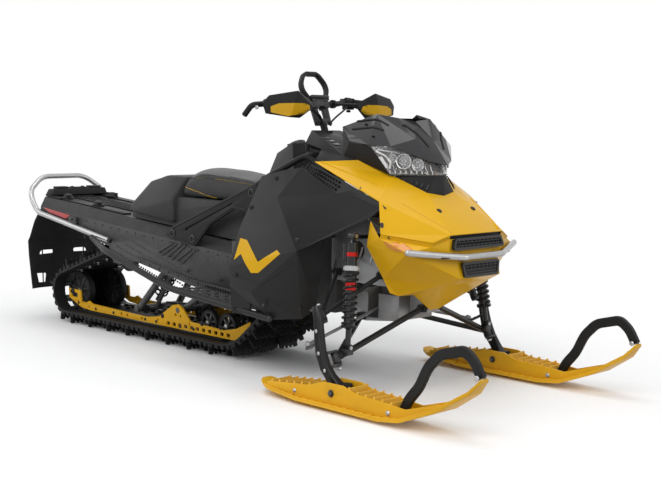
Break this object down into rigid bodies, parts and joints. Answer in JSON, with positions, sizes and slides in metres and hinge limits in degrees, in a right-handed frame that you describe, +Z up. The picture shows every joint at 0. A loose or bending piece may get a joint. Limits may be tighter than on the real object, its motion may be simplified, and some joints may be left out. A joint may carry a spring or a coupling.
{
  "type": "snowmobile",
  "caption": "Mountain snowmobile: faceted body, short screen, narrow seat, long lugged track under a tunnel, and two steered skis with hand loops.",
  "frame": {"origin": "centre of the machine's bounding box at ground level, under the track and skis", "axes": "+X forward, +Y to the rider's left, +Z up"},
  "size_m": [3.021, 1.062, 1.1838],
  "materials": {
    "tunnel_metal": "satin",
    "board_metal": "satin",
    "silver_tube": "satin",
    "flap_rubber": "matte",
    "red_lens": "gloss",
    "brace_metal": "satin",
    "tank_plastic": "textured",
    "seat_cover": "textured",
    "trunk_plastic": "textured",
    "panel_black": "gloss",
    "panel_yellow": "gloss",
    "silver_bar": "satin",
    "grille_plastic": "matte",
    "lens_clear": "clear",
    "smoked_screen": "gloss",
    "console_plastic": "textured",
    "gauge_plastic": "gloss",
    "bare_aluminium": "satin",
    "frame_black": "satin",
    "engine_metal": "matte",
    "arm_black": "satin",
    "shock_metal": "satin",
    "track_rubber": "matte",
    "rail_yellow": "satin",
    "wheel_black": "matte",
    "skid_black": "satin",
    "post_black": "satin",
    "bar_black": "satin",
    "grip_rubber": "matte",
    "guard_plastic": "satin",
    "strap_rubber": "matte",
    "pitman_steel": "satin",
    "spindle_metal": "satin",
    "rod_aluminium": "satin",
    "ski_yellow": "satin",
    "loop_rubber": "matte"
  },
  "bodies": {
    "chassis": {"tunnel": "tunnel_metal", "running_boards": "board_metal", "rear_bumper": "silver_tube", "snow_flap": "flap_rubber", "tail_lights": "red_lens", "tunnel_braces": "brace_metal", "fuel_tank": "tank_plastic", "seat": "seat_cover", "rear_trunk": "trunk_plastic", "side_panel_right": "panel_black", "side_panel_left": "panel_black", "hood": "panel_yellow", "nose_fascia": "panel_yellow", "front_bumper": "silver_bar", "grilles": "grille_plastic", "headlight": "lens_clear", "windshield": "smoked_screen", "console": "console_plastic", "gauge": "gauge_plastic", "bulkhead": "bare_aluminium", "panel_clips": "frame_black", "frame_tubes": "frame_black", "post_bearing": "bare_aluminium", "engine": "engine_metal", "upper_arms": "arm_black", "lower_arms": "arm_black", "front_shocks": "shock_metal", "track": "track_rubber", "slide_rails": "rail_yellow", "rear_wheels": "wheel_black", "idler_wheels": "wheel_black", "skid_arms": "skid_black", "drive_axle": "wheel_black"},
    "steering": {"steering_post": "post_black", "handlebar": "bar_black", "grips": "grip_rubber", "handguards": "guard_plastic", "mountain_strap": "strap_rubber"},
    "pitman": {"pitman_arm": "pitman_steel"},
    "spindle_right": {"spindle_right": "spindle_metal"},
    "spindle_left": {"spindle_left": "spindle_metal"},
    "tie_rod_right": {"tie_rod_right": "rod_aluminium"},
    "tie_rod_left": {"tie_rod_left": "rod_aluminium"},
    "ski_right": {"ski_right": "ski_yellow", "ski_loop_right": "loop_rubber"},
    "ski_left": {"ski_left": "ski_yellow", "ski_loop_left": "loop_rubber"}
  },
  "joints": [
    {"name": "steering", "type": "hinge", "parent": "chassis", "child": "steering", "pos_m": [0.3295, 0, 0.985], "axis": [-0.3746, 0, 0.9272], "range_deg": [-25, 25]},
    {"name": "pitman", "type": "hinge", "parent": "chassis", "child": "pitman", "pos_m": [0.7805, 0, 0.339], "axis": [-0.454, 0, 0.891], "range_deg": [-20, 20]},
    {"name": "spindle_right", "type": "hinge", "parent": "chassis", "child": "spindle_right", "pos_m": [0.8425, -0.43, 0.165], "axis": [-0.454, 0, 0.891], "range_deg": [-20, 20]},
    {"name": "spindle_left", "type": "hinge", "parent": "chassis", "child": "spindle_left", "pos_m": [0.8425, 0.43, 0.165], "axis": [-0.454, 0, 0.891], "range_deg": [-20, 20]},
    {"name": "tie_rod_right", "type": "hinge", "parent": "spindle_right", "child": "tie_rod_right", "pos_m": [0.72818, -0.455, 0.20215], "axis": [-0.454, 0, 0.891], "range_deg": [-20, 20]},
    {"name": "tie_rod_left", "type": "hinge", "parent": "spindle_left", "child": "tie_rod_left", "pos_m": [0.72818, 0.455, 0.20215], "axis": [-0.454, 0, 0.891], "range_deg": [-20, 20]},
    {"name": "ski_pitch_right", "type": "hinge", "parent": "spindle_right", "child": "ski_right", "pos_m": [0.8945, -0.456, 0.062], "axis": [0, 1, 0], "range_deg": [-14, 14], "stiffness_Nm_per_rad": 120},
    {"name": "ski_pitch_left", "type": "hinge", "parent": "spindle_left", "child": "ski_left", "pos_m": [0.8945, 0.456, 0.062], "axis": [0, 1, 0], "range_deg": [-14, 14], "stiffness_Nm_per_rad": 120}
  ],
  "couplings": [
    {"joint": "pitman", "follows": "steering", "ratio": 0.8},
    {"joint": "spindle_right", "follows": "steering", "ratio": 0.8},
    {"joint": "spindle_left", "follows": "steering", "ratio": 0.8},
    {"joint": "tie_rod_right", "follows": "steering", "ratio": -0.8},
    {"joint": "tie_rod_left", "follows": "steering", "ratio": -0.8}
  ]
}
